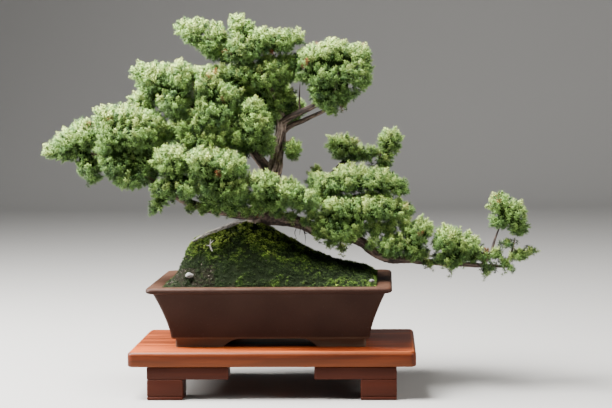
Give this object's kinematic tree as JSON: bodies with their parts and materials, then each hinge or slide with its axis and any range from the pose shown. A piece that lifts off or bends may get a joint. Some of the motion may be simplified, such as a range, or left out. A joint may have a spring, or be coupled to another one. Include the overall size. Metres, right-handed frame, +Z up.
{
  "type": "potted bonsai tree",
  "caption": "Juniper bonsai with a cascading branch, on a mossy mound in an unglazed rectangular clay pot, on a low wooden display stand.",
  "frame": {"origin": "middle of the bounding box in X and Y, on the surface that the stand rests on", "axes": "+X to the right along the tree's spread and the pot's long side, +Y to the back, +Z up; the front of the tree faces -Y"},
  "size_m": [0.7568, 0.2676, 0.5766],
  "materials": {
    "juniper_bark": "matte",
    "juniper_needles": "matte",
    "moss": "matte",
    "soil": "matte",
    "silver_deadwood": "matte",
    "pebble_stone": "matte",
    "pot_clay": "matte",
    "screen_plastic": "matte",
    "clip_wire": "satin",
    "stand_top_wood": "satin",
    "stand_leg_wood": "satin"
  },
  "bodies": {
    "root": {"trunk": "juniper_bark", "branch_right_cascade": "juniper_bark", "branch_left_low": "juniper_bark", "branch_left_fork": "juniper_bark", "branch_right_upper": "juniper_bark", "branch_right_bare": "juniper_bark", "branch_apex": "juniper_bark", "branch_right_middle": "juniper_bark", "branch_back_right": "juniper_bark", "branch_back_left": "juniper_bark", "twig_cascade_inner": "juniper_bark", "twig_cascade_outer": "juniper_bark", "twig_right_upper": "juniper_bark", "pad_apex_tip": "juniper_needles", "pad_apex": "juniper_needles", "pad_crown": "juniper_needles", "pad_upper_right": "juniper_needles", "pad_left_middle_outer": "juniper_needles", "pad_left_middle_inner": "juniper_needles", "pad_left_middle_low": "juniper_needles", "pad_left_low_tip": "juniper_needles", "pad_left_low_inner": "juniper_needles", "pad_front_outer": "juniper_needles", "pad_front_inner": "juniper_needles", "pad_front_right": "juniper_needles", "pad_trunk_tuft": "juniper_needles", "pad_back_right": "juniper_needles", "pad_back_right_tip": "juniper_needles", "pad_right_upper": "juniper_needles", "pad_right_lower": "juniper_needles", "pad_cascade_inner": "juniper_needles", "pad_cascade_outer": "juniper_needles", "pad_tip": "juniper_needles", "pad_tip_low": "juniper_needles", "pad_back_left": "juniper_needles", "pad_back_crown": "juniper_needles", "moss": "moss", "soil": "soil", "surface_root": "silver_deadwood", "dead_twig": "silver_deadwood", "pebble_left": "pebble_stone", "pebble_right": "pebble_stone", "pot": "pot_clay", "drainage_screen_left": "screen_plastic", "screen_clip_left": "clip_wire", "drainage_screen_right": "screen_plastic", "screen_clip_right": "clip_wire", "stand_top_board": "stand_top_wood", "stand_upper_block_front_left": "stand_leg_wood", "stand_foot_block_front_left": "stand_leg_wood", "stand_base_pad_front_left": "stand_leg_wood", "stand_upper_block_front_right": "stand_leg_wood", "stand_foot_block_front_right": "stand_leg_wood", "stand_base_pad_front_right": "stand_leg_wood", "stand_upper_block_back_left": "stand_leg_wood", "stand_foot_block_back_left": "stand_leg_wood", "stand_base_pad_back_left": "stand_leg_wood", "stand_upper_block_back_right": "stand_leg_wood", "stand_foot_block_back_right": "stand_leg_wood", "stand_base_pad_back_right": "stand_leg_wood"}
  },
  "joints": []
}
